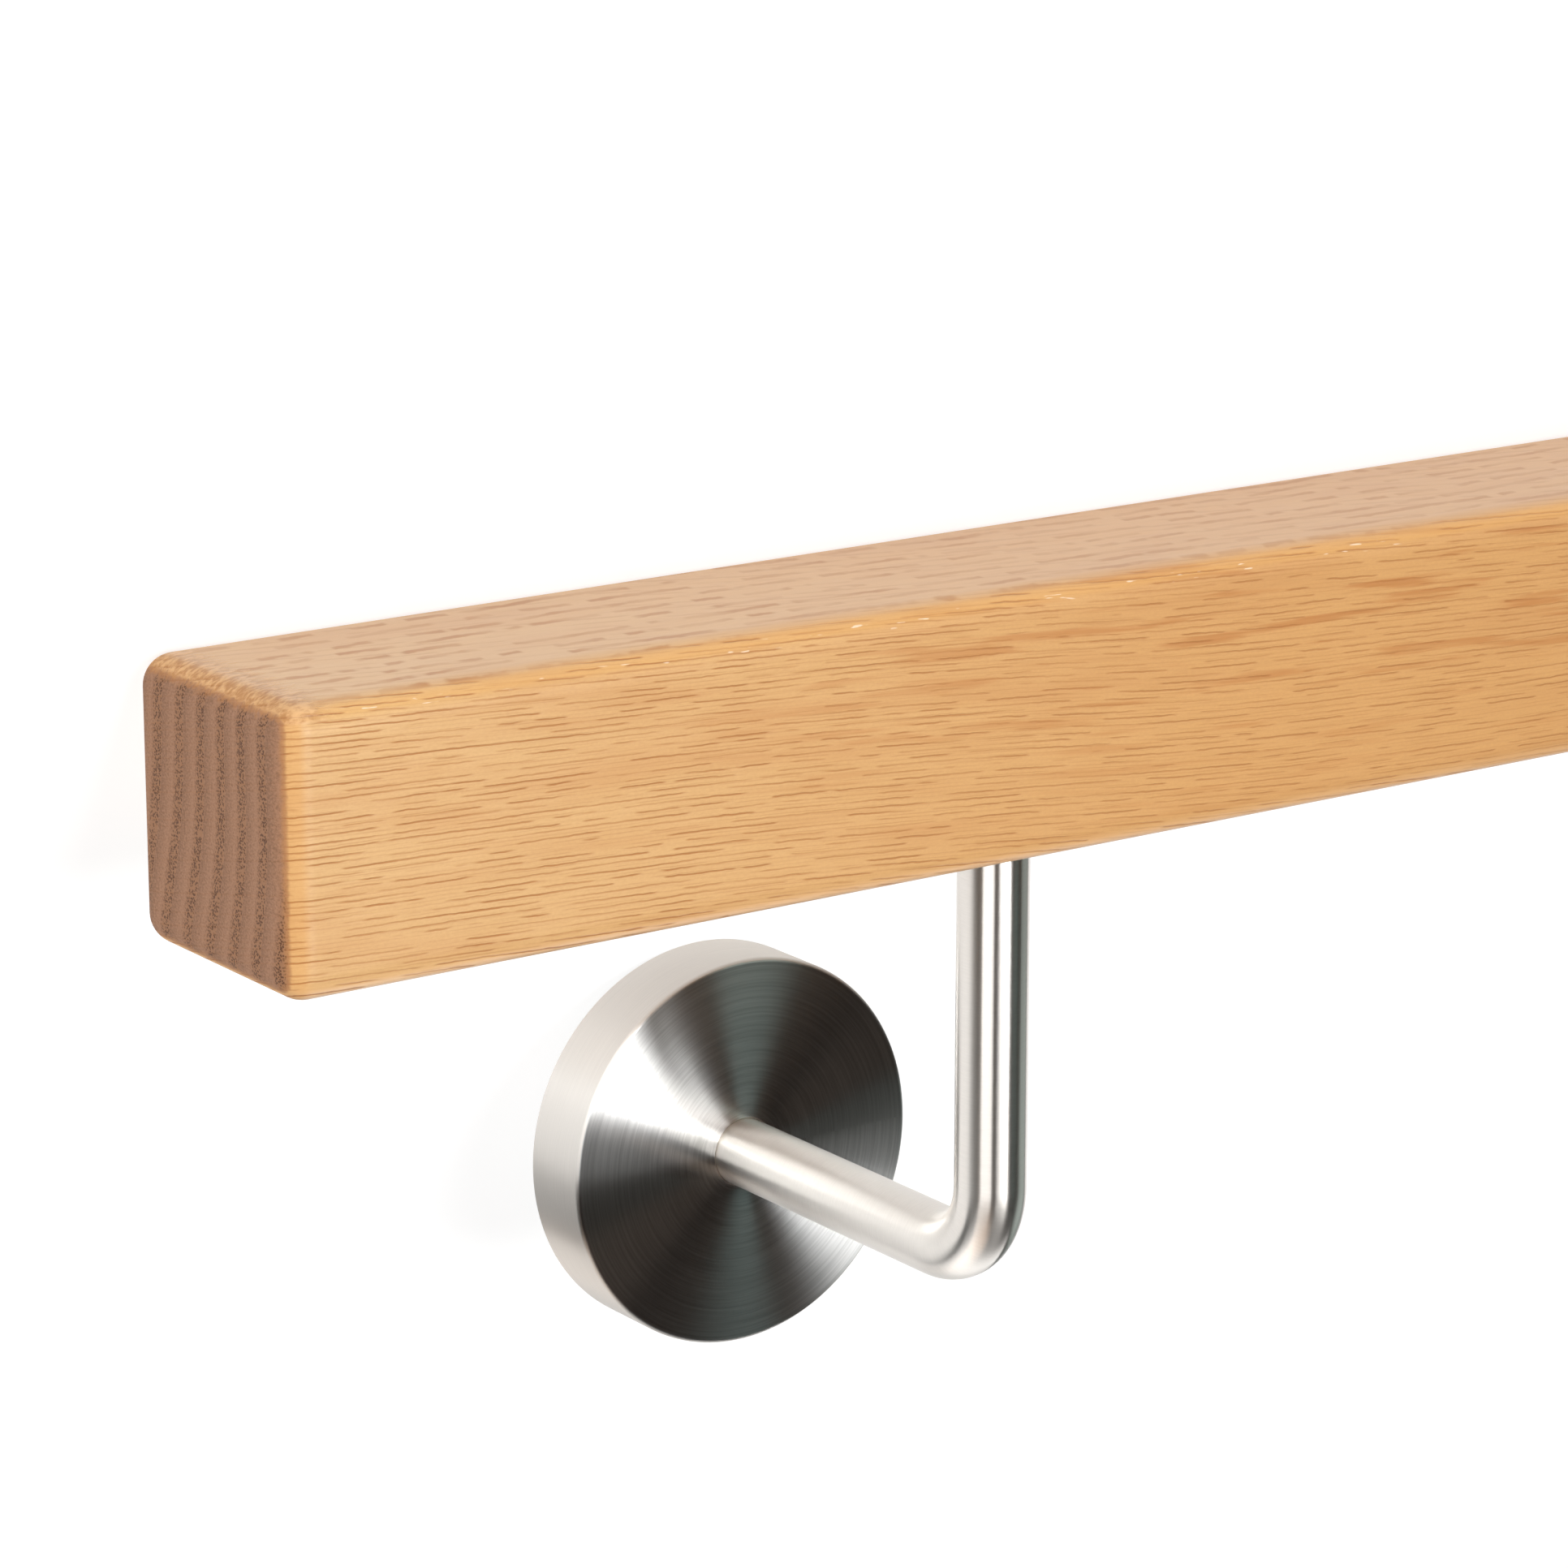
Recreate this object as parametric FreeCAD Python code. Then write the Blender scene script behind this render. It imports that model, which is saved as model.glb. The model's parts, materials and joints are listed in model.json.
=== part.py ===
"""Oak stair handrail length on two stainless wall brackets, lying on its back on a level floor.

The handrail is first modelled as it hangs on a wall: X along the rail, the wall on the +Y side,
Z up, with the centre of the rail's section at the origin. Every solid is then laid down with one
placement, so that the top rims of the two cover roses and the rail's rounded top back edge rest
on the floor. All sizes are in millimetres and degrees.
"""
import os
import FreeCAD
import Part
from math import acos, atan2, cos, degrees, radians, sin, sqrt

V = FreeCAD.Vector
ALONG = V(1, 0, 0)
TO_WALL = V(0, 1, 0)
UP = V(0, 0, 1)

# Handrail, a planed oak bar of square section with rounded edges.
RAIL_LENGTH = 1200.0
RAIL_HEIGHT = 45.0
RAIL_DEPTH = 45.0
RAIL_EDGE_R = 5.0

# Brackets, the same distance in from each end of the rail.
BRACKET_INSET = 145.0
SIDES = {"left": -1, "right": 1}

# Bent round bar of a bracket: down from the rail, then back to the wall.
ROD_D = 12.0
ROD_BEND_R = 14.0
ARM_DROP = 75.0
WALL_DISTANCE = 85.0

# Cover rose, a turned cap that slides along the arm and grips the wall plate's rim.
ROSE_D = 70.0
ROSE_DEPTH = 14.0
ROSE_SHEET = 1.5
ROSE_CHAMFER = 0.8

# Round wall plate under the rose, with countersunk holes for wall screws.
PLATE_T = 5.0
SCREW_COUNT = 3
SCREW_PCD = 42.0
SCREW_HOLE_D = 5.5
SCREW_HEAD_D = 11.0

# Hanger bolt: wood thread up into the rail, machine thread down into the bar.
BOLT_D = 8.0
BOLT_IN_WOOD = 30.0
BOLT_IN_ROD = 20.0
BOLT_POINT = 6.0

# Derived places.
RAIL_UNDERSIDE = -RAIL_HEIGHT / 2
ARM_Z = RAIL_UNDERSIDE - ARM_DROP
PLATE_FACE_Y = WALL_DISTANCE - PLATE_T
PLATE_D = ROSE_D - 2 * ROSE_SHEET
BRACKET_X = RAIL_LENGTH / 2 - BRACKET_INSET


def bolt_solid(x):
    """Hanger bolt on the bracket's vertical axis, pointed at the end that is in the wood."""
    shank_length = BOLT_IN_ROD + BOLT_IN_WOOD - BOLT_POINT
    shank = Part.makeCylinder(BOLT_D / 2, shank_length, V(x, 0, RAIL_UNDERSIDE - BOLT_IN_ROD), UP)
    point_start = V(x, 0, RAIL_UNDERSIDE + BOLT_IN_WOOD - BOLT_POINT)
    point = Part.makeCone(BOLT_D / 2, BOLT_D / 8, BOLT_POINT, point_start, UP)
    return shank.fuse(point).removeSplitter()


def rail_solid():
    """Rail with every edge rounded and a pilot hole for each hanger bolt."""
    corner = V(-RAIL_LENGTH / 2, -RAIL_DEPTH / 2, -RAIL_HEIGHT / 2)
    bar = Part.makeBox(RAIL_LENGTH, RAIL_DEPTH, RAIL_HEIGHT, corner)
    bar = bar.makeFillet(RAIL_EDGE_R, bar.Edges)
    for side in SIDES.values():
        bar = bar.cut(bolt_solid(side * BRACKET_X))
    return bar


def rod_solid(x):
    """Round bar bent through a right angle, tapped for the bolt and flush with the wall."""
    top = V(x, 0, RAIL_UNDERSIDE)
    bend_start = V(x, 0, ARM_Z + ROD_BEND_R)
    bend_end = V(x, ROD_BEND_R, ARM_Z)
    wall_end = V(x, WALL_DISTANCE, ARM_Z)
    inset = ROD_BEND_R * (1 - sqrt(0.5))
    bend_middle = V(x, inset, ARM_Z + inset)
    path = Part.Wire([
        Part.LineSegment(top, bend_start).toShape(),
        Part.Arc(bend_start, bend_middle, bend_end).toShape(),
        Part.LineSegment(bend_end, wall_end).toShape(),
    ])
    section = Part.Wire([Part.Circle(top, UP, ROD_D / 2).toShape()])
    bar = path.makePipeShell([section], True, False)
    return bar.cut(bolt_solid(x))


def rose_solid(x):
    """Turned cap, open at the wall, with a hole in its face for the arm."""
    outer = ROSE_D / 2
    inner = PLATE_D / 2
    hole = ROD_D / 2
    depth = ROSE_DEPTH
    corners = [
        V(hole, depth, 0),
        V(outer - ROSE_CHAMFER, depth, 0),
        V(outer, depth - ROSE_CHAMFER, 0),
        V(outer, 0, 0),
        V(inner, 0, 0),
        V(inner, depth - ROSE_SHEET, 0),
        V(hole, depth - ROSE_SHEET, 0),
    ]
    profile = Part.makePolygon(corners + corners[:1])
    cap = Part.Face(profile).revolve(V(0, 0, 0), TO_WALL, 360)
    faces_room = FreeCAD.Rotation(UP, 180)
    return cap.transformed(FreeCAD.Placement(V(x, WALL_DISTANCE, ARM_Z), faces_room).toMatrix())


def plate_solid(x):
    """Round plate with the arm set through its centre and a ring of countersunk screw holes."""
    centre = V(x, PLATE_FACE_Y, ARM_Z)
    plate = Part.makeCylinder(PLATE_D / 2, PLATE_T, centre, TO_WALL)
    plate = plate.cut(Part.makeCylinder(ROD_D / 2, PLATE_T, centre, TO_WALL))
    sink_depth = (SCREW_HEAD_D - SCREW_HOLE_D) / 2
    for number in range(SCREW_COUNT):
        turn = radians(90 + number * 360 / SCREW_COUNT)
        at = centre + V(cos(turn), 0, sin(turn)) * (SCREW_PCD / 2)
        hole = Part.makeCylinder(SCREW_HOLE_D / 2, PLATE_T, at, TO_WALL)
        sink = Part.makeCone(SCREW_HEAD_D / 2, SCREW_HOLE_D / 2, sink_depth, at, TO_WALL)
        plate = plate.cut(hole.fuse(sink))
    return plate


def lay_down_rotation():
    """Turn that brings the line from the roses' top rims to the rail's top back edge to the floor."""
    rim_y = WALL_DISTANCE
    rim_z = ARM_Z + ROSE_D / 2
    edge_y = RAIL_DEPTH / 2 - RAIL_EDGE_R
    edge_z = RAIL_HEIGHT / 2 - RAIL_EDGE_R
    span = sqrt((edge_y - rim_y) ** 2 + (edge_z - rim_z) ** 2)
    floor_normal = degrees(atan2(edge_z - rim_z, edge_y - rim_y) + acos(RAIL_EDGE_R / span))
    on_its_back = FreeCAD.Rotation(ALONG, 90 - floor_normal)
    about_face = FreeCAD.Rotation(UP, 180)
    return about_face.multiply(on_its_back)


def all_solids():
    """Every piece by its name, as hung on the wall."""
    solids = {"handrail": rail_solid()}
    for name, side in SIDES.items():
        x = side * BRACKET_X
        solids["bracket_rod_" + name] = rod_solid(x)
        solids["cover_rose_" + name] = rose_solid(x)
        solids["wall_plate_" + name] = plate_solid(x)
        solids["hanger_bolt_" + name] = bolt_solid(x)
    return solids


def laid_down(solids):
    """The same pieces on the floor, with the origin under the middle of their common box."""
    turn = FreeCAD.Placement(V(0, 0, 0), lay_down_rotation()).toMatrix()
    turned = {name: solid.transformed(turn) for name, solid in solids.items()}
    box = Part.makeCompound(list(turned.values())).optimalBoundingBox()
    middle = V(-box.Center.x, -box.Center.y, -box.ZMin)
    shift = FreeCAD.Placement(middle, FreeCAD.Rotation()).toMatrix()
    return {name: solid.transformed(shift) for name, solid in turned.items()}


os.makedirs("parts", exist_ok=True)
for node, solid in laid_down(all_solids()).items():
    solid.exportStep("parts/" + node + ".step")
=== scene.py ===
"""Looks of an oak stair handrail length on two brushed stainless wall brackets.

Pieces are shaped as the rail hangs on a wall: X along the rail, Y to the wall, Z up, with the
origin in the middle of the rail. HUNG, read from the frame, lays them down on the floor.
"""
import json
from math import copysign, cos, pi, radians, sin

import bmesh
import bpy
from mathutils import Matrix, Vector


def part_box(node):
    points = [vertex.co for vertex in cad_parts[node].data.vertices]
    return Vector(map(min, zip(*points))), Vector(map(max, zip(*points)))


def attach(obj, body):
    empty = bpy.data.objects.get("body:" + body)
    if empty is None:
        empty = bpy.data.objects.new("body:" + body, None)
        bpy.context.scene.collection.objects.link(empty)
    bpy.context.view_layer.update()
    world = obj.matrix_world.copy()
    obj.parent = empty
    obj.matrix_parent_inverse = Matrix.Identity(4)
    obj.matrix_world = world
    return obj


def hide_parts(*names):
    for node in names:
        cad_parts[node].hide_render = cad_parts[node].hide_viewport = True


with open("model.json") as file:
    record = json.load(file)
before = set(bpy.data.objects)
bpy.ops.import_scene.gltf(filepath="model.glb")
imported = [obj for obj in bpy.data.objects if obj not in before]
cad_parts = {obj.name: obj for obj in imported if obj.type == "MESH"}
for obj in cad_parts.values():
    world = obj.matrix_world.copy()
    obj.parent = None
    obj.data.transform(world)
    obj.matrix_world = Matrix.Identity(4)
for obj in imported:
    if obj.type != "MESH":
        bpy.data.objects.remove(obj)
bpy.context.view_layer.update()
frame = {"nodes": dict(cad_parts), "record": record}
MOUNTS = {mount["name"]: mount for mount in frame["record"]["mounts"]}
SIDES = ("left", "right")
MM = 0.001
TO_MM = (1 / MM,) * 3


def hung_matrix():
    """From the hung frame to the frame on the floor."""
    low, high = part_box("handrail")
    along = Vector((-1, 0, 0))
    to_wall = Vector(MOUNTS["wall_face_left"]["axis"]).normalized()
    up = along.cross(to_wall)
    turn = Matrix((along, to_wall, up)).transposed().to_4x4()
    return Matrix.Translation((low + high) / 2) @ turn


HUNG = hung_matrix()
HUNG_TURN = HUNG.to_3x3()
TO_HUNG = HUNG.inverted()


def hung_box(node):
    """Lowest and highest corner of a node in the hung frame."""
    points = [TO_HUNG @ vert.co for vert in frame["nodes"][node].data.vertices]
    low = Vector(min(p[axis] for p in points) for axis in range(3))
    high = Vector(max(p[axis] for p in points) for axis in range(3))
    return low, high


# Sizes read from the frame, and the few that its boxes do not show.
RAIL_LOW, RAIL_HIGH = hung_box("handrail")
RAIL_SIZE = RAIL_HIGH - RAIL_LOW
RAIL_EDGE_R = 5 * MM
ROSE_LOW, ROSE_HIGH = hung_box("cover_rose_left")
ROSE_R = (ROSE_HIGH.z - ROSE_LOW.z) / 2
ROSE_DEPTH = ROSE_HIGH.y - ROSE_LOW.y
ROSE_SHEET = 1.5 * MM
ROSE_EDGE_R = 0.8 * MM
ROSE_HOLE_CHAMFER = 0.25 * MM
ROSE_HOLE_GAP = 0.03 * MM
ROD_LOW, ROD_HIGH = hung_box("bracket_rod_left")
ROD_R = (ROD_HIGH.x - ROD_LOW.x) / 2
ROD_BEND_R = 14 * MM
WALL_Y = ROSE_HIGH.y
ARM_Z = (ROSE_HIGH.z + ROSE_LOW.z) / 2
BRACKET_X = {side: sum(v.x for v in hung_box("bracket_rod_" + side)) / 2 for side in SIDES}

# Fineness of the meshes.
RAIL_EDGE_STEPS = 12
ROD_BEND_STEPS = 32
ROD_SIDES = 64
ROSE_EDGE_STEPS = 6
ROSE_SIDES = 160

# Shading of the rail's rounded edges: above 1, it turns more slowly next to the flats.
EDGE_EASE = 1.5

# Photograph's view: the lens looks at a point on the rail's front face near its left end.
VIEW_YAW = radians(35.293)
VIEW_PITCH = radians(14.864)
VIEW_DISTANCE = 855.6 * MM
VIEW_INSET = 87.4 * MM
VIEW_HEIGHT = -1.7 * MM
SENSOR_MM = 36.0
FOCAL_PIXELS = 6926
IMAGE_PIXELS = 1932
CLIP_START = 10 * MM

# Stage: the floor's reach in metres, and the rise of a line of sight over which the room darkens.
FLOOR_REACH = 40.0
ROOM_FADE = (0.05, 0.5)

# Grain of the oak, in millimetres along the rail, towards the wall and up.
SLOW_DRIFT_GRAIN = (140, 60, 60)
SLOW_DRIFT_REACH = (0, 9, 6)
QUICK_DRIFT_GRAIN = (45, 30, 30)
QUICK_DRIFT_REACH = (0, 2.4, 0.9)
TREMBLE_GRAIN = (2.4, 1.3, 1.3)
FIGURE_GRAIN = (60, 14, 7)
BLOTCH_GRAIN = (32, 7, 1.9)
FIBRE_GRAIN = (26, 0.9, 0.4)
GRIT_GRAIN = (0.8, 0.3, 0.3)
SPARK_GRAIN = (3.4, 2.0, 0.45)
SPARK_GROUP_GRAIN = (45, 45, 45)
TORN_GRAIN = (2.0, 1.0, 1.0)
PORE_GRAIN = (0.5, 0.37, 0.37)
SPECKLE_GRAIN = (1, 0.5, 0.35)
WAVE_GRAIN = (28, 9, 9)
RIPPLE_GRAIN = (7, 5, 5)

# Places in the oak, in millimetres: where the paler left end fades out, at which heights the blotches
# grow strong, how far from an end the torn fibres fade and waver, and how wide a year ring is.
PALE_END_FADE = (10, 190)
BLOTCH_HEIGHTS = (-14, 8)
TORN_FADE = (5.0, 9.5)
TORN_WAVER = 10.0
RING_WIDTH = 6.2

# Slopes of the grain for each millimetre along the rail, and of the year rings for each one up.
GRAIN_SLOPE = (0, 0.03, 0.055)
RING_SLOPE = 0.13

# Size of the clouds in the brushed steel, in millimetres, and in the dull metals, in metres.
STEEL_CLOUD_GRAIN = (9, 9, 9)
DULL_CLOUD_GRAIN = (7 * MM,) * 3

# Lacquer on the oak.
LACQUER_ROUGH = 0.38
LACQUER_IOR = 1.5
RELIEF_DEPTH = 0.3 * MM

# Colours as linear red, green and blue.
OAK_PALE = (0.665, 0.405, 0.178)
OAK_WARM = (0.63, 0.338, 0.127)
OAK_TOP_PAINTED_SHEEN = (0.66, 0.42, 0.24)
OAK_FIGURE = (0.56, 0.275, 0.102)
OAK_BLOTCH = (0.48, 0.19, 0.055)
OAK_FIBRE = (0.50, 0.25, 0.09)
OAK_GRIT = (0.47, 0.225, 0.085)
OAK_VESSEL = (0.38, 0.14, 0.03)
OAK_FINE_VESSEL = (0.43, 0.18, 0.05)
OAK_TOP_VESSEL = (0.42, 0.155, 0.02)
OAK_UPPER_EDGE_GRAIN_AND_LIGHT = (0.65, 0.335, 0.09)
OAK_LOWER_EDGE_PAINTED_LIGHT = (0.9, 0.55, 0.27)
OAK_END_EDGE_PAINTED_SHADE = (0.60, 0.30, 0.085)
OAK_END_LINE = (0.37, 0.148, 0.05)
OAK_PAINTED_GLINT = (0.95, 0.85, 0.7)
OAK_TORN_PAINTED_SHADE = (0.42, 0.185, 0.062)
OAK_TORN_PALE = (0.69, 0.405, 0.19)
OAK_LATE_RING = (0.375, 0.188, 0.102)
OAK_LATE_FLECK = (0.195, 0.088, 0.039)
OAK_EARLY_RING = (0.29, 0.131, 0.055)
OAK_PORE = (0.09, 0.03, 0.008)
BLACK = (0.0, 0.0, 0.0)
WARM_STEEL = (0.79, 0.755, 0.71)
GREY_STEEL = (0.70, 0.70, 0.69)
PLATE_STEEL = (0.5, 0.49, 0.47)
ZINC = (0.55, 0.56, 0.6)
FLOOR_GREY = (0.3, 0.3, 0.3)
FLOOR_GLOW = (0.78, 0.78, 0.78)
HORIZON = (0.11, 0.12, 0.12)
OVERHEAD = (0.02, 0.014, 0.011)
WHITE_LIGHT = (1.0, 1.0, 1.0)
SEA_LIGHT = (0.7, 1.0, 0.98)
PALE_SEA_LIGHT = (0.85, 1.0, 0.96)
AMBER_LIGHT = (1.0, 0.80, 0.66)


class Graph:
    """One material, with short names for the shader nodes that it is made of."""

    def __init__(self, name):
        self.material = bpy.data.materials.new(name)
        self.material.use_nodes = True
        self.tree = self.material.node_tree
        self.shader = self.tree.nodes["Principled BSDF"]

    def put(self, socket, value):
        """Links a socket to another one, or sets it to a constant."""
        if isinstance(value, bpy.types.NodeSocket):
            self.tree.links.new(value, socket)
        else:
            socket.default_value = value

    def add(self, kind, inputs, **settings):
        """New node with its inputs, given by name or number, set or linked. Returns its outputs."""
        node = self.tree.nodes.new("ShaderNode" + kind)
        for name, value in settings.items():
            setattr(node, name, value)
        for key, value in inputs.items():
            self.put(node.inputs[key], value)
        return node.outputs

    def finish(self, **values):
        """Sets the shader's sockets, with _ for a space in their names. Returns the material."""
        for name, value in values.items():
            self.put(self.shader.inputs[name.replace("_", " ")], value)
        return self.material

    def math(self, operation, *values):
        """Result of a Math node."""
        return self.add("Math", dict(enumerate(values)), operation=operation)[0]

    def times(self, first, *others):
        """Product of several values."""
        for other in others:
            first = self.math("MULTIPLY", first, other)
        return first

    def rest(self, share):
        """What a share leaves of 1."""
        return self.math("SUBTRACT", 1.0, share)

    def vector_math(self, operation, *values):
        """Vector that a Vector Math node results in."""
        return self.add("VectorMath", dict(enumerate(values)), operation=operation)[0]

    def vector(self, x, y, z):
        """Vector of three components."""
        return self.add("CombineXYZ", {0: x, 1: y, 2: z})[0]

    def split(self, vector):
        """The three components of a vector."""
        return self.add("SeparateXYZ", {0: vector})[:]

    def stretch(self, vector, periods):
        """Divides a place by the wanted periods, for a noise of that grain."""
        return self.vector_math("MULTIPLY", vector, tuple(1 / period for period in periods))

    def noise(self, vector, detail=0.0, rough=0.5):
        """Smooth random value from 0 to 1, mostly near 0.5."""
        values = {"Vector": vector, "Scale": 1.0, "Detail": detail, "Roughness": rough}
        return self.add("TexNoise", values)["Fac"]

    def wander(self, vector):
        """Smooth random offset on all three axes, within half a unit each way."""
        colour = self.add("TexNoise", {"Vector": vector, "Scale": 1.0, "Detail": 0.0})["Color"]
        return self.vector_math("SUBTRACT", colour, (0.5, 0.5, 0.5))

    def cells(self, vector):
        """Distance to the nearest of many scattered points."""
        return self.add("TexVoronoi", {"Vector": vector, "Scale": 1.0})["Distance"]

    def ramp(self, value, start, end, low=0.0, high=1.0):
        """Smooth step from low to high as the value goes from start to end."""
        values = {"Value": value, "From Min": start, "From Max": end, "To Min": low, "To Max": high}
        return self.add("MapRange", values, interpolation_type="SMOOTHSTEP")[0]

    def mix(self, share, first, second):
        """First colour, with a share of the second.

        The Mix node repeats the names of its sockets, so the ones for colours go by number.
        """
        colours = [(*c, 1.0) if isinstance(c, tuple) else c for c in (first, second)]
        return self.add("Mix", {0: share, 6: colours[0], 7: colours[1]}, data_type="RGBA")[2]

    def hung_mm(self):
        """Place in the hung frame, in millimetres."""
        place = self.add("Attribute", {}, attribute_name="hung")["Vector"]
        return self.vector_math("MULTIPLY", place, TO_MM)

    def facing(self, direction):
        """How far the surface faces a direction of the hung frame: 1 towards it, -1 away."""
        normal = self.add("TexCoord", {})["Normal"]
        pair = {0: normal, 1: HUNG_TURN @ Vector(direction)}
        return self.add("VectorMath", pair, operation="DOT_PRODUCT")["Value"]

    def brush_mm(self):
        """Place on the map of a metal piece, in millimetres: U across the scratches, V along them."""
        place = self.add("UVMap", {}, uv_map="brush")["UV"]
        return self.vector_math("MULTIPLY", place, TO_MM)

    def brush_tangent(self):
        """Direction of U on the map of a metal piece."""
        return self.add("Tangent", {}, direction_type="UV_MAP", uv_map="brush")[0]

    def bump(self, height, depth):
        """Normal of a surface with this relief."""
        return self.add("Bump", {"Height": height, "Distance": depth, "Strength": 1.0})[0]


class Oak(Graph):
    """Lacquered oak, built up in layers of colour. Lengths are in millimetres."""

    def __init__(self):
        super().__init__("oak")
        self.place = self.hung_mm()
        self.x, _, self.z = self.split(self.place)
        slow = self.wander(self.stretch(self.place, SLOW_DRIFT_GRAIN))
        quick = self.wander(self.stretch(self.place, QUICK_DRIFT_GRAIN))
        drift = self.vector_math("MULTIPLY_ADD", slow, SLOW_DRIFT_REACH, self.place)
        self.drift = self.vector_math("MULTIPLY_ADD", quick, QUICK_DRIFT_REACH, drift)
        lean = self.vector_math("MULTIPLY", self.vector(0.0, self.x, self.x), GRAIN_SLOPE)
        self.grain = self.vector_math("ADD", self.drift, lean)
        self.upward = self.facing((0, 0, 1))
        self.endward = self.math("ABSOLUTE", self.facing((1, 0, 0)))
        self.level = self.ramp(self.math("ABSOLUTE", self.upward), 0.85, 0.98)
        pale_start, pale_end = (RAIL_LOW.x / MM + inset for inset in PALE_END_FADE)
        self.from_left_end = self.ramp(self.x, pale_start, pale_end)
        self.tremble = self.noise(self.stretch(self.place, TREMBLE_GRAIN), detail=1)
        self.torn = self.noise(self.stretch(self.place, TORN_GRAIN), detail=3, rough=0.6)
        vessels = self.rows(side_gap=1.05, top_gap=6.0, run=10, width=0.17, seed=0.0)
        self.vessels = self.times(vessels, self.rest(self.level))
        self.torn_share = self.torn_edges()
        self.colour = None

    def layer(self, share, colour):
        """Lays a share of a colour over what is there."""
        self.colour = self.mix(share, self.colour, colour)

    def rows(self, side_gap, top_gap, run, width, seed):
        """Dashes in rows along the rail, with gaps between the rows up its side and across its top.

        Each row reads its own line of the noise, which changes over a run. The width is a share of
        a gap.
        """
        x, y, z = self.split(self.grain)
        up = self.math("DIVIDE", z, side_gap)
        rows = self.math("MULTIPLY_ADD", y, 1 / top_gap, up)
        key = self.math("MULTIPLY_ADD", self.math("FLOOR", rows), 3.7, seed)
        sway = self.noise(self.vector(self.math("DIVIDE", x, 2.2 * run), key, 5.0))
        present = self.noise(self.vector(self.math("DIVIDE", x, run), key, 15.0), detail=1)
        dark = self.noise(self.vector(self.math("DIVIDE", x, 1.6 * run), key, 25.0))
        across = self.math("SUBTRACT", self.math("FRACT", rows), 0.9)
        across = self.math("MULTIPLY_ADD", sway, 0.5, across)
        across = self.math("MULTIPLY_ADD", self.tremble, 0.3, across)
        line = self.ramp(self.math("ABSOLUTE", across), width, width / 3)
        return self.times(line, self.ramp(present, 0.42, 0.50), self.ramp(dark, 0.3, 0.7, 0.4, 1.0))

    def add_body(self):
        """Wood between the vessels: paler near the left end, with soft figure and a painted sheen on
        top.
        """
        figure = self.noise(self.stretch(self.grain, FIGURE_GRAIN), detail=2, rough=0.55)
        blotch = self.noise(self.stretch(self.grain, BLOTCH_GRAIN), detail=3)
        fibre = self.noise(self.stretch(self.grain, FIBRE_GRAIN), detail=2, rough=0.6)
        grit = self.noise(self.stretch(self.place, GRIT_GRAIN), detail=2, rough=0.7)
        self.colour = self.mix(self.from_left_end, OAK_PALE, OAK_WARM)
        self.layer(self.ramp(figure, 0.42, 0.75, 0.0, 0.5), OAK_FIGURE)
        upper_half = self.ramp(self.z, *BLOTCH_HEIGHTS, 0.3, 1.0)
        blotches = self.times(self.ramp(blotch, 0.53, 0.68, 0.0, 0.8), self.from_left_end, upper_half)
        self.layer(self.times(blotches, self.ramp(self.level, 0.0, 1.0, 1.0, 0.3)), OAK_BLOTCH)
        self.layer(self.ramp(fibre, 0.35, 0.75, 0.0, 0.25), OAK_FIBRE)
        self.layer(self.ramp(grit, 0.35, 0.65, 0.0, 0.16), OAK_GRIT)
        # Painted sheen: the top face is laid paler, as a grazing reflection would light it.
        self.layer(self.times(self.level, 0.3), OAK_TOP_PAINTED_SHEEN)

    def add_edges(self):
        """Rounded edges: amber above, part grain, part painted light; painted light below; painted
        shade at ends.
        """
        upper = self.times(self.ramp(self.upward, 0.3, 0.6), self.ramp(self.upward, 0.97, 0.8))
        lower = self.times(self.ramp(self.upward, -0.1, -0.6), self.ramp(self.upward, -0.98, -0.85))
        # Upper edges: amber, partly the grain cut aslant and partly painted warm light on the rounding.
        self.layer(self.times(upper, 0.4), OAK_UPPER_EDGE_GRAIN_AND_LIGHT)
        # Painted light: the lower edges are made pale, as light thrown back from below would make them.
        self.layer(self.times(lower, 0.4), OAK_LOWER_EDGE_PAINTED_LIGHT)
        # Painted shade: darker, deeper amber where the rounding turns away towards the end.
        self.layer(self.ramp(self.endward, 0.0, 0.4, 0.0, 0.5), OAK_END_EDGE_PAINTED_SHADE)

    def add_vessels(self):
        """Cut vessels: fine dashes everywhere, dark ones on the sides, broad ones on top."""
        fine = self.rows(side_gap=0.62, top_gap=3.1, run=12, width=0.2, seed=40.0)
        broad = self.rows(side_gap=20.0, top_gap=4.6, run=7, width=0.25, seed=80.0)
        strength = self.ramp(self.from_left_end, 0.0, 1.0, 0.85, 0.65)
        self.layer(self.times(fine, 0.32), OAK_FINE_VESSEL)
        self.layer(self.times(broad, self.level, strength), OAK_TOP_VESSEL)
        self.layer(self.times(self.vessels, strength), OAK_VESSEL)

    def add_sparks(self):
        """Painted white glints in groups along the upper edges, away from the ends."""
        sparks = self.noise(self.stretch(self.grain, SPARK_GRAIN), detail=1)
        groups = self.noise(self.stretch(self.place, SPARK_GROUP_GRAIN))
        edge = self.times(self.ramp(self.upward, 0.25, 0.4), self.ramp(self.upward, 0.75, 0.6))
        sparks = self.times(self.ramp(sparks, 0.68, 0.74), self.ramp(groups, 0.53, 0.6), edge)
        self.layer(self.times(sparks, self.ramp(self.endward, 0.3, 0.1, 0.0, 0.55)), OAK_PAINTED_GLINT)

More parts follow.
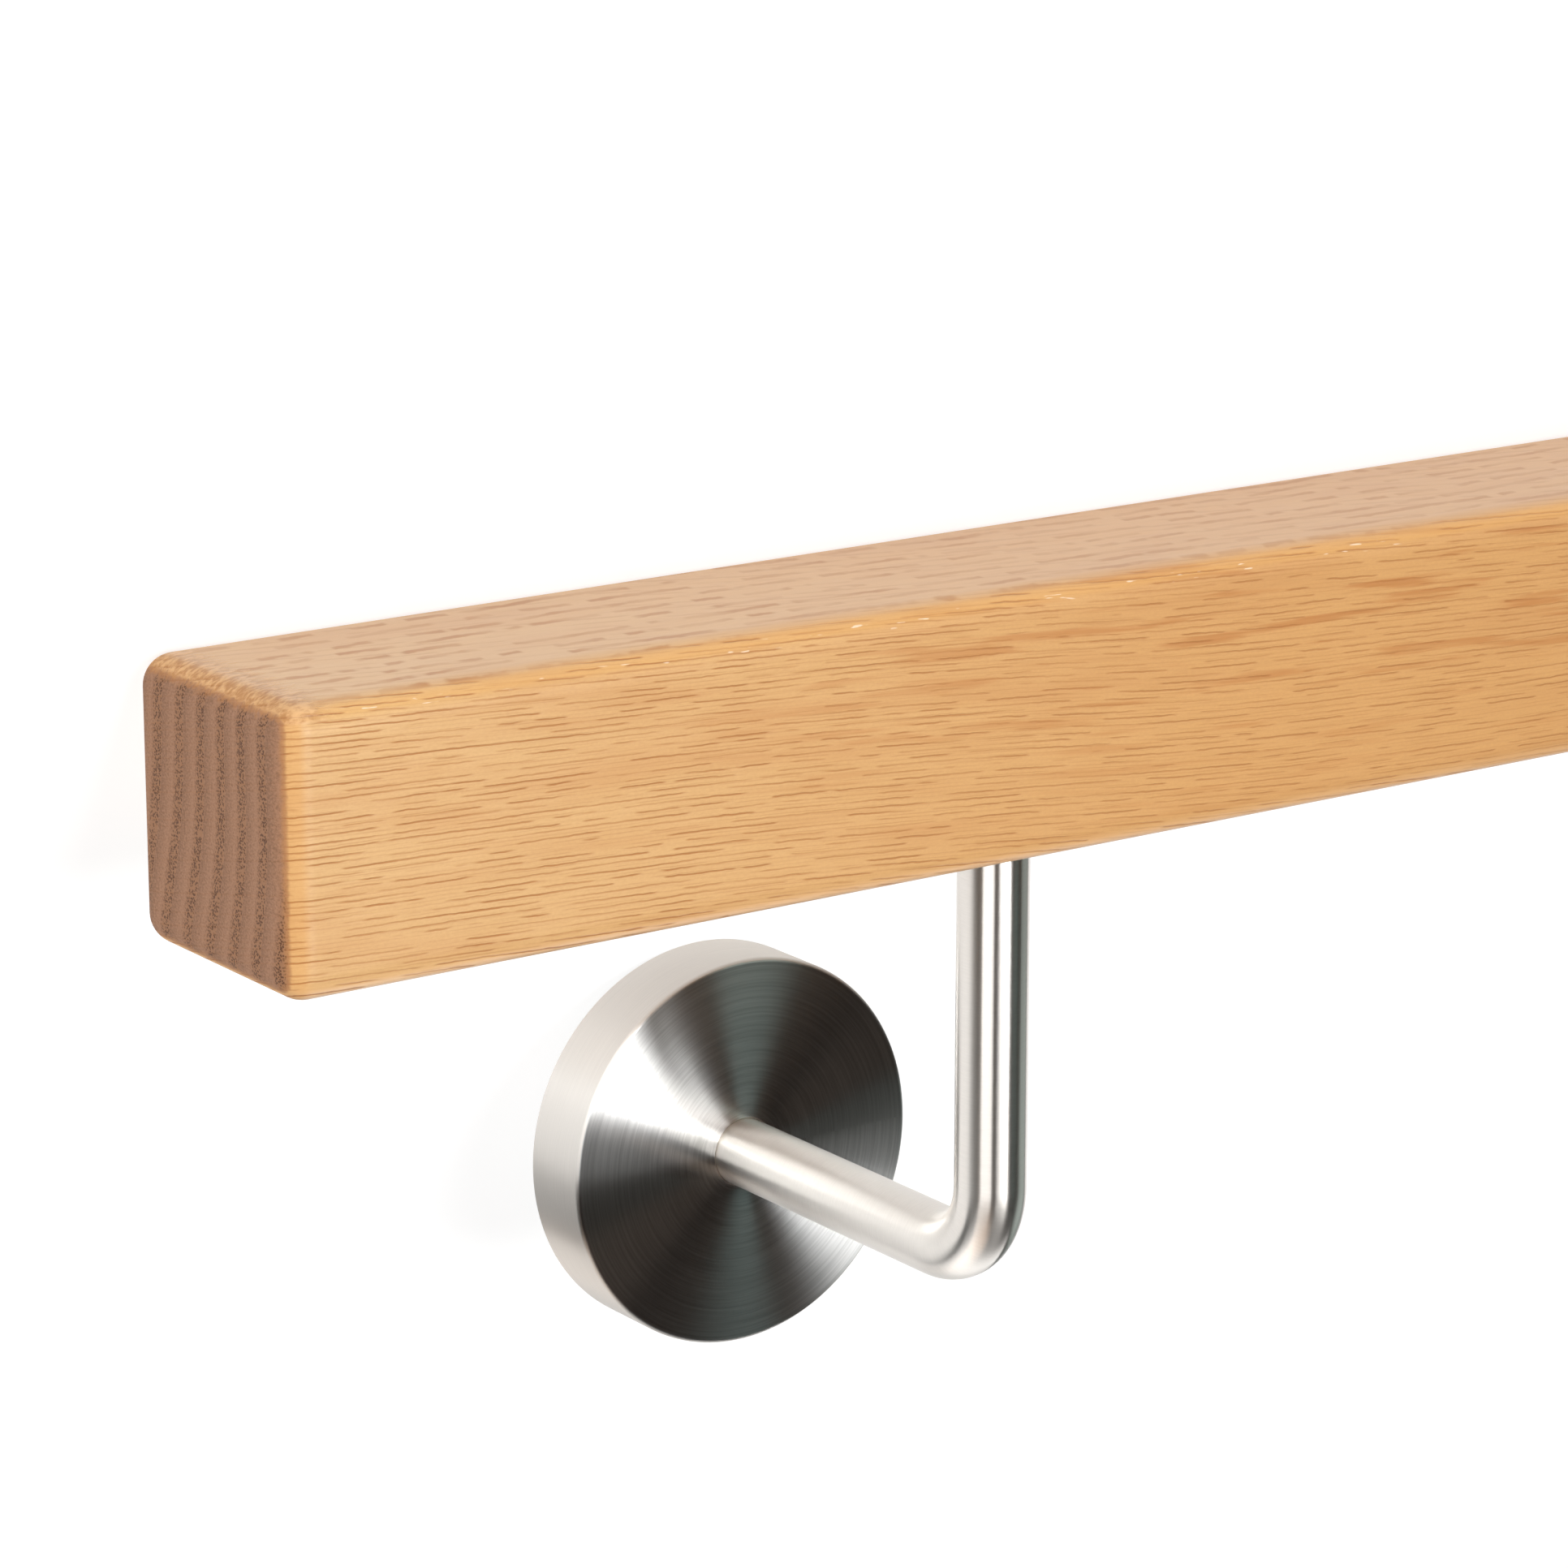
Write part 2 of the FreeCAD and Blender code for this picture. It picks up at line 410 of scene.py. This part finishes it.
    def torn_edges(self):
        """Share of torn fibres: on the upper edge of each end, with a ragged border."""
        half_length = RAIL_SIZE.x / 2 / MM
        inset = self.math("SUBTRACT", half_length, self.math("ABSOLUTE", self.x))
        inset = self.math("ADD", inset, TORN_WAVER / 2)
        inset = self.math("MULTIPLY_ADD", self.torn, -TORN_WAVER, inset)
        near, far = TORN_FADE
        return self.times(self.ramp(inset, far, near), self.ramp(self.upward, 0.3, 0.5))

    def add_torn_edges(self):
        """Torn fibres, with painted shade in their hollows."""
        # Painted shade: the fibres darken where their relief is lowest.
        fibres = self.mix(self.ramp(self.torn, 0.36, 0.64), OAK_TORN_PAINTED_SHADE, OAK_TORN_PALE)
        self.layer(self.times(self.torn_share, 0.75), fibres)

    def add_ends(self):
        """Sawn ends with a dark outline. Returns their share of the surface."""
        ragged = self.math("SUBTRACT", self.torn, 0.5)
        ragged = self.times(ragged, self.ramp(self.upward, 0.2, 0.6, 0.15, 0.6))
        end = self.ramp(self.math("ADD", self.endward, ragged), 0.72, 0.96)
        self.layer(end, self.end_grain())
        self.layer(self.times(end, self.rest(end), 2.2), OAK_END_LINE)
        return end

    def end_grain(self):
        """Year rings, each with a band of open pores and darker wood towards the next."""
        _, y, z = self.split(self.drift)
        ring = self.math("MULTIPLY_ADD", z, RING_SLOPE, y)
        ring = self.math("FRACT", self.math("MULTIPLY_ADD", ring, 1 / RING_WIDTH, 0.2))
        early = self.times(self.ramp(ring, 0.0, 0.02), self.ramp(ring, 0.55, 0.25))
        dots = self.cells(self.stretch(self.place, PORE_GRAIN))
        speckle = self.noise(self.stretch(self.place, SPECKLE_GRAIN), detail=2, rough=0.7)
        shade = self.math("MULTIPLY_ADD", ring, 0.45, speckle)
        colour = self.mix(self.ramp(shade, 0.55, 1.15), OAK_LATE_RING, OAK_LATE_FLECK)
        colour = self.mix(self.times(early, 0.8), colour, OAK_EARLY_RING)
        return self.mix(self.times(self.ramp(dots, 0.56, 0.36), early, 0.95), colour, OAK_PORE)

    def close(self, end):
        """Sets the lacquer's gloss, and the relief of planing waves, open vessels and torn fibres."""
        wave = self.noise(self.stretch(self.place, WAVE_GRAIN), detail=1)
        ripple = self.noise(self.stretch(self.place, RIPPLE_GRAIN), detail=1)
        height = self.math("MULTIPLY_ADD", ripple, 0.25, self.times(wave, 0.6))
        height = self.math("MULTIPLY_ADD", self.vessels, self.times(self.rest(end), -0.2), height)
        height = self.math("MULTIPLY_ADD", self.torn, self.times(self.torn_share, 0.6), height)
        rough = self.math("MULTIPLY_ADD", self.vessels, 0.12, LACQUER_ROUGH)
        rough = self.math("ADD", rough, self.ramp(self.endward, 0.0, 0.35, 0.0, 0.3))
        relief = self.bump(height, RELIEF_DEPTH)
        return self.finish(Base_Color=self.colour, Roughness=rough, IOR=LACQUER_IOR, Normal=relief)


def oak_material():
    """Oak of the rail, with its layers laid in order."""
    oak = Oak()
    oak.add_body()
    oak.add_edges()
    oak.add_vessels()
    oak.add_sparks()
    oak.add_torn_edges()
    end = oak.add_ends()
    return oak.close(end)


def brushed_material(name, tint, rough, draw_out, periods, depth, contrast):
    """Stainless steel with fine scratches along V of the map, which draw highlights out along U."""
    g = Graph(name)
    scratches = g.noise(g.stretch(g.brush_mm(), (*periods, 1)), detail=3, rough=0.7)
    cloud = g.noise(g.stretch(g.hung_mm(), STEEL_CLOUD_GRAIN), detail=2)
    roughness = g.math("MULTIPLY_ADD", scratches, 0.04, rough)
    roughness = g.math("MULTIPLY_ADD", cloud, 0.02, roughness)
    colour = g.mix(g.ramp(scratches, 0.25, 0.75, 1.0 - contrast, 1.0), BLACK, tint)
    return g.finish(Base_Color=colour, Metallic=1.0, Roughness=roughness, Anisotropic=draw_out,
                    Tangent=g.brush_tangent(), Normal=g.bump(scratches, depth))


def dull_metal(name, colour, roughness):
    """Plain metal with faint clouds in its colour and gloss."""
    g = Graph(name)
    place = g.add("TexCoord", {})["Object"]
    cloud = g.noise(g.stretch(place, DULL_CLOUD_GRAIN), detail=3)
    darker = tuple(0.88 * c for c in colour)
    roughness = g.math("MULTIPLY_ADD", cloud, 0.1, roughness)
    return g.finish(Base_Color=g.mix(cloud, colour, darker), Metallic=1.0, Roughness=roughness)


def floor_material():
    """Frosted white light table."""
    return Graph("light_table").finish(Base_Color=(*FLOOR_GREY, 1), Roughness=0.9,
                                       Emission_Color=(*FLOOR_GLOW, 1), Emission_Strength=1.0)


def link_object(name, data):
    """New object with this data, in the scene."""
    item = bpy.data.objects.new(name, data)
    bpy.context.scene.collection.objects.link(item)
    return item


def finished_mesh(name, bm, materials):
    """Turns a bmesh into a mesh with these materials, and frees it."""
    mesh = bpy.data.meshes.new(name)
    bm.to_mesh(mesh)
    bm.free()
    for material in materials:
        mesh.materials.append(material)
    return mesh


def add_piece(name, bm, materials, replaced):
    """Lays a mesh in the hung frame down as a piece that stands for a CAD node."""
    hung = bm.verts.layers.float_vector.new("hung")
    for vert in bm.verts:
        vert[hung] = vert.co
    mesh = finished_mesh(name, bm, materials)
    mesh.transform(HUNG)
    piece = link_object(name, mesh)
    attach(piece, "root")
    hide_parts(replaced)
    return piece


def mark_sharp(bm, limit=radians(35)):
    """Smooth shading, with sharp edges where faces meet at more than the limit."""
    for face in bm.faces:
        face.smooth = True
    for edge in bm.edges:
        edge.smooth = len(edge.link_faces) < 2 or edge.calc_face_angle(0) < limit


def rail_piece(material):
    """Rail with finely rounded edges, shaded so that the flats run softly into them."""
    bm = bmesh.new()
    bmesh.ops.create_cube(bm, size=1, matrix=Matrix.Diagonal(RAIL_SIZE.to_4d()))
    bmesh.ops.bevel(bm, geom=bm.edges[:], offset=RAIL_EDGE_R, offset_type="OFFSET",
                    segments=RAIL_EDGE_STEPS, profile=0.5, affect="EDGES", clamp_overlap=True)
    core = RAIL_SIZE / 2 - Vector((RAIL_EDGE_R,) * 3)
    normals = []
    for vert in bm.verts:
        inner = Vector(max(-c, min(c, v)) for v, c in zip(vert.co, core))
        normal = (vert.co - inner).normalized()
        vert.co = inner + normal * RAIL_EDGE_R
        eased = Vector(copysign(abs(part) ** EDGE_EASE, part) for part in normal)
        normals.append(HUNG_TURN @ eased.normalized())
    for face in bm.faces:
        face.smooth = True
    piece = add_piece("oak_rail", bm, [material], "handrail")
    piece.data.normals_split_custom_set_from_vertices(normals)


def add_rings(bm, rings, runs, girth, closed):
    """Skins rings of points with quads. The brush map has U along the runs and V around."""
    brush = bm.loops.layers.uv.new("brush")
    around = len(rings[0])
    pairs = list(zip(rings, rings[1:]))
    if closed:
        pairs.append((rings[-1], rings[0]))
    for first, (a, b) in enumerate(pairs):
        for k in range(around):
            n = (k + 1) % around
            face = bm.faces.new((a[k], a[n], b[n], b[k]))
            for loop, (turn, end) in zip(face.loops, ((k, 0), (k + 1, 0), (k + 1, 1), (k, 1))):
                loop[brush].uv = (runs[first + end], turn / around * girth)


def running_lengths(points):
    """Distance along a chain of points to each of them."""
    runs = [0.0]
    for a, b in zip(points, points[1:]):
        runs.append(runs[-1] + (b - a).length)
    return runs


def full_turn(count):
    """Evenly spaced angles around a circle."""
    return [2 * pi * k / count for k in range(count)]


def rod_path(x):
    """Centre points and directions of the bent bar, from the rail's underside to the wall."""
    stops = [(Vector((x, 0, RAIL_LOW.z)), Vector((0, 0, -1)))]
    for step in range(ROD_BEND_STEPS + 1):
        turn = step / ROD_BEND_STEPS * pi / 2
        y = ROD_BEND_R * (1 - cos(turn))
        z = ARM_Z + ROD_BEND_R * (1 - sin(turn))
        stops.append((Vector((x, y, z)), Vector((0, sin(turn), -cos(turn)))))
    stops.append((Vector((x, WALL_Y, ARM_Z)), Vector((0, 1, 0))))
    return stops


def rod_piece(side, material):
    """Bent round bar, closed at both ends."""
    bm = bmesh.new()
    path = rod_path(BRACKET_X[side])
    across = Vector((1, 0, 0))
    turns = full_turn(ROD_SIDES)
    rings = []
    for centre, ahead in path:
        other = ahead.cross(across)
        rings.append([bm.verts.new(centre + ROD_R * (across * cos(t) + other * sin(t))) for t in turns])
    runs = running_lengths([centre for centre, _ in path])
    add_rings(bm, rings, runs, girth=2 * pi * ROD_R, closed=False)
    bm.faces.new(rings[0][::-1])
    bm.faces.new(rings[-1])
    bmesh.ops.recalc_face_normals(bm, faces=bm.faces[:])
    mark_sharp(bm)
    add_piece("bent_bar_" + side, bm, [material], "bracket_rod_" + side)


def rose_profile():
    """Radius and distance from the wall around the cap's section, from the hole outwards."""
    hole = ROD_R + ROSE_HOLE_GAP
    inner = ROSE_R - ROSE_SHEET
    points = [(hole, ROSE_DEPTH - ROSE_SHEET), (hole, ROSE_DEPTH - ROSE_HOLE_CHAMFER),
              (hole + ROSE_HOLE_CHAMFER, ROSE_DEPTH)]
    for step in range(ROSE_EDGE_STEPS + 1):
        turn = step / ROSE_EDGE_STEPS * pi / 2
        r = ROSE_R - ROSE_EDGE_R * (1 - sin(turn))
        points.append((r, ROSE_DEPTH - ROSE_EDGE_R * (1 - cos(turn))))
    points += [(ROSE_R, 0.0), (inner, 0.0), (inner, ROSE_DEPTH - ROSE_SHEET)]
    return [Vector(point) for point in points]


def rose_piece(side, face_material, side_material):
    """Turned cover rose with a softened edge and a fine line round the arm."""
    flat_limit = 0.9
    bm = bmesh.new()
    centre = Vector((BRACKET_X[side], WALL_Y, ARM_Z))
    turns = full_turn(ROSE_SIDES)
    profile = rose_profile()
    rings = []
    for r, depth in profile:
        rings.append([bm.verts.new(centre + Vector((r * cos(t), -depth, r * sin(t)))) for t in turns])
    runs = running_lengths(profile + profile[:1])
    add_rings(bm, rings, runs, girth=2 * pi * ROSE_R, closed=True)
    bmesh.ops.recalc_face_normals(bm, faces=bm.faces[:])
    mark_sharp(bm)
    for face in bm.faces:
        face.material_index = 0 if abs(face.normal.y) > flat_limit else 1
    materials = [face_material, side_material]
    add_piece("rose_" + side, bm, materials, "cover_rose_" + side)


def dress_node(node, material):
    """Gives a CAD node that stays visible its finish."""
    slots = frame["nodes"][node].data.materials
    slots.clear()
    slots.append(material)


def add_floor():
    """Level light table, far wider than the part."""
    bm = bmesh.new()
    bmesh.ops.create_grid(bm, x_segments=1, y_segments=1, size=FLOOR_REACH)
    floor = link_object("floor", finished_mesh("floor", bm, [floor_material()]))


def add_softbox(name, azimuth, elevation, distance, size, brightness, colour=WHITE_LIGHT, spin=0):
    """Area light aimed at the left bracket, from angles in degrees in the hung frame.

    Azimuth 0 is straight in front of the rail, and grows to its right. Elevation grows upwards.
    Brightness stays the same for any size of the light. Distance and size are in metres.
    """
    turn, rise = radians(azimuth), radians(elevation)
    out = Vector((sin(turn) * cos(rise), -cos(turn) * cos(rise), sin(rise)))
    wide = Vector((0, 0, 1)).cross(out).normalized()
    tall = out.cross(wide)
    light = bpy.data.lights.new(name, "AREA")
    light.shape = "RECTANGLE"
    light.size, light.size_y = size
    light.energy = brightness * pi * size[0] * size[1]
    light.color = colour
    aim = Vector((BRACKET_X["left"], 0, 0))
    lamp = link_object(name, light)
    turned = Matrix((wide, tall, out)).transposed().to_4x4() @ Matrix.Rotation(radians(spin), 4, "Z")
    lamp.matrix_world = HUNG @ Matrix.Translation(aim + out * distance) @ turned


def add_camera():
    """Camera at the photograph's viewing angle, laid down with the rail."""
    level = Vector((sin(VIEW_YAW), cos(VIEW_YAW), 0))
    ahead = level * cos(VIEW_PITCH) - Vector((0, 0, sin(VIEW_PITCH)))
    right = Vector((cos(VIEW_YAW), -sin(VIEW_YAW), 0))
    up = right.cross(ahead)
    looked_at = Vector((RAIL_LOW.x + VIEW_INSET, RAIL_LOW.y, VIEW_HEIGHT))
    turned = Matrix((right, up, -ahead)).transposed().to_4x4()
    data = bpy.data.cameras.new("camera")
    data.sensor_width = SENSOR_MM
    data.lens = FOCAL_PIXELS / IMAGE_PIXELS * SENSOR_MM
    data.clip_start = CLIP_START
    camera = link_object("camera", data)
    camera.matrix_world = HUNG @ Matrix.Translation(looked_at - ahead * VIEW_DISTANCE) @ turned
    bpy.context.scene.camera = camera


def set_world():
    """Dim room: dark and warm overhead, paler towards the horizon."""
    world = bpy.data.worlds.new("studio")
    world.use_nodes = True
    tree = world.node_tree
    place = tree.nodes.new("ShaderNodeTexCoord")
    parts = tree.nodes.new("ShaderNodeSeparateXYZ")
    ramp = tree.nodes.new("ShaderNodeValToRGB")
    low, high = ramp.color_ramp.elements
    low.position, high.position = ROOM_FADE
    low.color = (*HORIZON, 1)
    high.color = (*OVERHEAD, 1)
    tree.links.new(place.outputs["Generated"], parts.inputs[0])
    tree.links.new(parts.outputs["Z"], ramp.inputs[0])
    tree.links.new(ramp.outputs[0], tree.nodes["Background"].inputs["Color"])
    bpy.context.scene.world = world


bpy.context.scene.view_settings.view_transform = "Standard"
rail_piece(oak_material())
bar_steel = brushed_material("bar_steel", WARM_STEEL, rough=0.26, draw_out=0.9,
                             periods=(0.3, 4.0), depth=0.0005 * MM, contrast=0.06)
rose_steel = brushed_material("rose_steel", GREY_STEEL, rough=0.26, draw_out=1.0,
                              periods=(0.5, 40.0), depth=0.003 * MM, contrast=0.25)
rim_steel = brushed_material("rim_steel", WARM_STEEL, rough=0.38, draw_out=1.0,
                             periods=(0.25, 20.0), depth=0.003 * MM, contrast=0.06)
plate_steel = dull_metal("plate_steel", PLATE_STEEL, roughness=0.4)
bolt_zinc = dull_metal("bolt_zinc", ZINC, roughness=0.3)
for side_name in SIDES:
    rod_piece(side_name, bar_steel)
    rose_piece(side_name, rose_steel, rim_steel)
    dress_node("wall_plate_" + side_name, plate_steel)
    dress_node("hanger_bolt_" + side_name, bolt_zinc)
add_floor()
add_camera()
set_world()
add_softbox("key", azimuth=0, elevation=2, distance=1.5, size=(1.03, 0.44), brightness=13.8, spin=-30)
add_softbox("left_strip", azimuth=-52, elevation=2, distance=1.5, size=(0.94, 1.2), brightness=3.0)
add_softbox("right_high", azimuth=38, elevation=20, distance=1.6, size=(0.5, 1.1), brightness=0.9,
            colour=SEA_LIGHT)
add_softbox("right_low", azimuth=82, elevation=-30, distance=1.6, size=(0.9, 0.8), brightness=0.5,
            colour=PALE_SEA_LIGHT)
add_softbox("low_fill", azimuth=-60, elevation=-60, distance=1.4, size=(0.8, 0.8), brightness=0.9,
            colour=AMBER_LIGHT)
add_softbox("back_fill", azimuth=180, elevation=-80, distance=1.5, size=(2.4, 0.8), brightness=1.8)
